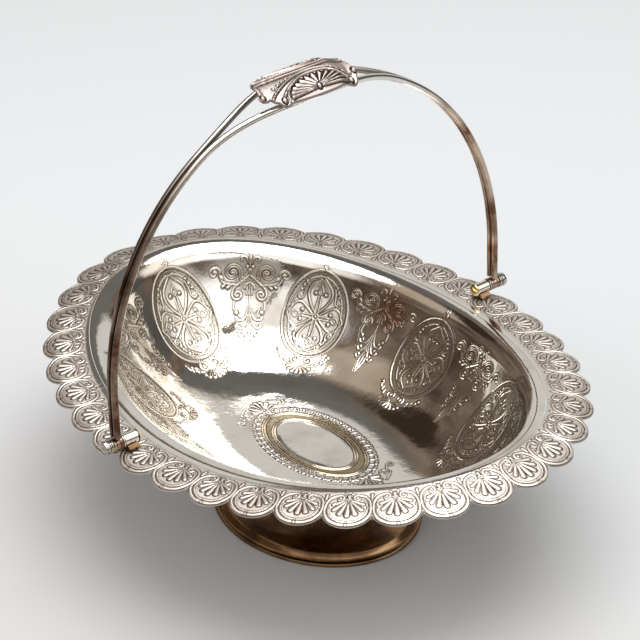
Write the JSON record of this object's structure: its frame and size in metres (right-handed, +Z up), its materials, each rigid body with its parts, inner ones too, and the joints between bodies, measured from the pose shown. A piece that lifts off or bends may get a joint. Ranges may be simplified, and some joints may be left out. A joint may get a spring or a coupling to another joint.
{
  "type": "fruit bowl",
  "caption": "Oval footed metal fruit bowl with a scalloped medallion border, a chased interior and a hinged swing handle whose wires part under an ornamental plate.",
  "frame": {"origin": "centre of the flat ring that the foot stands on, at table height", "axes": "+X along the bowl, +Y along the hinge pins of the handle, +Z up"},
  "size_m": [0.2976, 0.2402, 0.236],
  "materials": {
    "silver_plate": "silver plate on nickel silver, polished, warm with tarnish",
    "stamped_silver": "silver plate on stamped or cast nickel silver, tarnish in the recesses",
    "bronzed_plate": "polished, heavily tarnished to dark bronze",
    "worn_plate": "silver plate worn through to copper brown",
    "gilt_plate": "gilt-coloured tarnish, polished",
    "steel_pin": "drawn steel pin"
  },
  "bodies": {
    "basket": {"bowl": "silver_plate", "rim_border": "stamped_silver", "foot": "bronzed_plate", "foot_edge_wire": "bronzed_plate", "hinge_inner_cap_left": "gilt_plate", "hinge_barrel_left": "silver_plate", "hinge_saddle_left": "worn_plate", "hinge_pin_left": "steel_pin", "hinge_washer_left": "silver_plate", "hinge_outer_cap_left": "bronzed_plate", "hinge_inner_cap_right": "gilt_plate", "hinge_barrel_right": "silver_plate", "hinge_saddle_right": "worn_plate", "hinge_pin_right": "steel_pin", "hinge_washer_right": "silver_plate", "hinge_outer_cap_right": "bronzed_plate"},
    "handle": {"handle_wire_front": "worn_plate", "handle_wire_back": "worn_plate", "cartouche": "stamped_silver", "handle_eye_left": "worn_plate", "handle_eye_right": "worn_plate"}
  },
  "joints": [
    {"name": "handle_swing", "type": "hinge", "parent": "basket", "child": "handle", "pos_m": [0, 0, 0.08288], "axis": [0, 1, 0], "range_deg": [-82, 82]}
  ]
}
